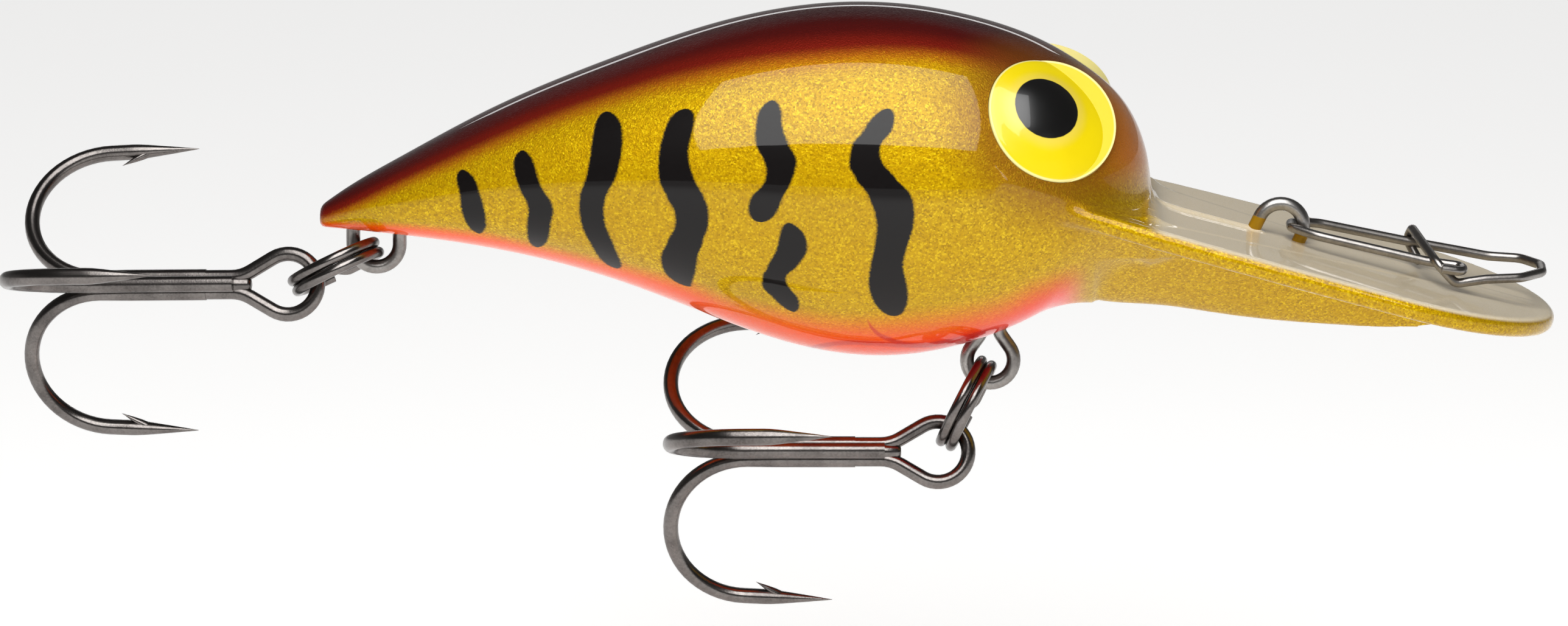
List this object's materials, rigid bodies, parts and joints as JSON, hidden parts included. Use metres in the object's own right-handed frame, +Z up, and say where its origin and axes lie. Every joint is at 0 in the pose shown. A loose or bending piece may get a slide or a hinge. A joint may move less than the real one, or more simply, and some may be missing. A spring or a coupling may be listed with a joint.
{
  "type": "crankbait lure",
  "caption": "Round-bodied diving crankbait with a broad sloping lip, raised eyes, swinging treble hooks on split rings, and a wire snap at the line tie.",
  "frame": {"origin": "centre of the line tie's loop, in the seam plane between the body halves", "axes": "+X forward from tail to lip, +Y to the lure's left, +Z up towards its back"},
  "size_m": [0.0951, 0.0218, 0.0378],
  "materials": {
    "painted_body": "gloss",
    "painted_eye": "gloss",
    "bright_wire": "polished",
    "hook_steel": "polished",
    "ballast": "satin"
  },
  "bodies": {
    "lure_body": {"body_left": "painted_body", "body_right": "painted_body", "eye_left": "painted_eye", "eye_right": "painted_eye", "line_tie": "bright_wire", "tail_hanger": "bright_wire", "belly_hanger": "bright_wire", "belly_weight": "ballast"},
    "rattle_rear": {"rattle_ball_rear": "ballast"},
    "rattle_middle": {"rattle_ball_middle": "ballast"},
    "rattle_front": {"rattle_ball_front": "ballast"},
    "tail_ring": {"tail_split_ring": "hook_steel"},
    "tail_hook": {"tail_hook_double": "hook_steel", "tail_hook_single": "hook_steel"},
    "belly_ring": {"belly_split_ring": "hook_steel"},
    "belly_hook": {"belly_hook_double": "hook_steel", "belly_hook_single": "hook_steel"},
    "snap": {"snap": "bright_wire"}
  },
  "joints": [
    {"name": "snap_swing", "type": "hinge", "parent": "lure_body", "child": "snap", "pos_m": [0, 0, 0], "axis": [0, -1, 0], "range_deg": [0, 140]},
    {"name": "belly_ring_swing", "type": "hinge", "parent": "lure_body", "child": "belly_ring", "pos_m": [-0.01797, 0, -0.00858], "axis": [0, -0.9588, 0.284], "range_deg": [-8, 70]},
    {"name": "belly_hook_swing", "type": "hinge", "parent": "belly_ring", "child": "belly_hook", "pos_m": [-0.02048, -0.0014, -0.01329], "axis": [0, -0.9588, 0.284], "range_deg": [-5, 90]},
    {"name": "tail_ring_swing", "type": "hinge", "parent": "lure_body", "child": "tail_ring", "pos_m": [-0.05535, 0, -0.00132], "axis": [0, -0.9703, 0.2419], "range_deg": [-12, 80]},
    {"name": "tail_hook_swing", "type": "hinge", "parent": "tail_ring", "child": "tail_hook", "pos_m": [-0.06033, -0.00058, -0.00363], "axis": [0, -0.9703, 0.2419], "range_deg": [-80, 85]},
    {"name": "rattle_rear_slide", "type": "slide", "parent": "lure_body", "child": "rattle_rear", "axis": [0, 1, 0], "range_m": [-0.0023, 0.0023]},
    {"name": "rattle_middle_slide", "type": "slide", "parent": "lure_body", "child": "rattle_middle", "axis": [0, 1, 0], "range_m": [-0.0037, 0.0037]},
    {"name": "rattle_front_slide", "type": "slide", "parent": "lure_body", "child": "rattle_front", "axis": [0, 1, 0], "range_m": [-0.0044, 0.0044]}
  ]
}
